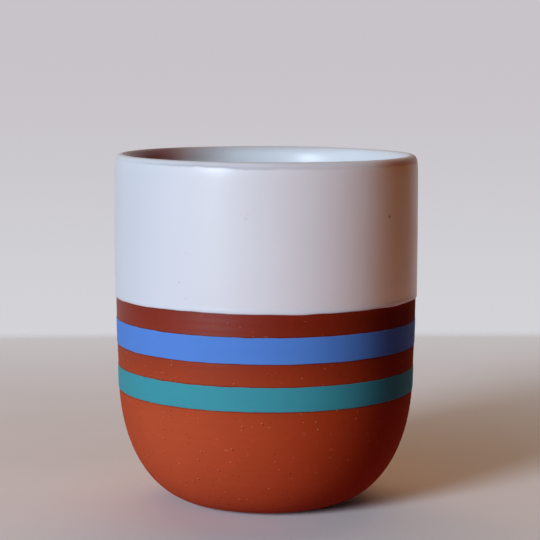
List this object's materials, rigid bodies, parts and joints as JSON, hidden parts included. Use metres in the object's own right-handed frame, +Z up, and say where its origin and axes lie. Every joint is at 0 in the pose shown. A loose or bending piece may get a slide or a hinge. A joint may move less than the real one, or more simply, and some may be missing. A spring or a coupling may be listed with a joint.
{
  "type": "handleless mug",
  "caption": "Handleless red clay mug with a rounded bottom, white glaze inside and over the upper wall, and a blue and a teal painted band round the bare clay.",
  "frame": {"origin": "centre of the foot, on the surface that the mug stands on", "axes": "+Z up along the mug's axis of turning; X and Y are interchangeable"},
  "size_m": [0.0824, 0.0824, 0.095],
  "materials": {
    "red_clay": "bare matte terracotta with fine pale grog",
    "white_glaze": "satin white glaze with a few dark specks",
    "blue_slip": "matte painted blue slip",
    "teal_slip": "matte painted teal slip"
  },
  "bodies": {
    "root": {"clay_body": "red_clay", "liner_glaze": "white_glaze", "outer_glaze": "white_glaze", "blue_band": "blue_slip", "teal_band": "teal_slip"}
  },
  "joints": []
}
